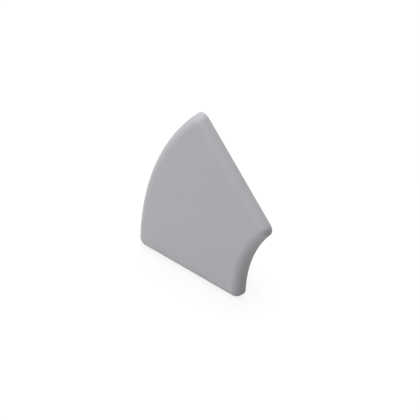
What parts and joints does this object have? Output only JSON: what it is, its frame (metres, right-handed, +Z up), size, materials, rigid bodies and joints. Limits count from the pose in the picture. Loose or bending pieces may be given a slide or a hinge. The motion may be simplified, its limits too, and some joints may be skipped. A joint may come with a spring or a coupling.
{
  "type": "profile end cap",
  "caption": "Cap for the cut end of a curved slotted profile: a ring-sector plate with a rounded edge, cored out behind, and plug-in pegs on its back.",
  "frame": {"origin": "where the core peg's axis meets the seat plane, on which the rim seats on the profile's cut end", "axes": "+Y along the pegs, the way they go into the profile, so the face points to -Y; +Z up; the section's lower straight side is level, with the convex side at -X"},
  "size_m": [0.0569, 0.014, 0.0623],
  "materials": {
    "grey_plastic": "fine spark-eroded matte"
  },
  "bodies": {
    "root": {"end_cap": "grey_plastic"}
  },
  "joints": []
}
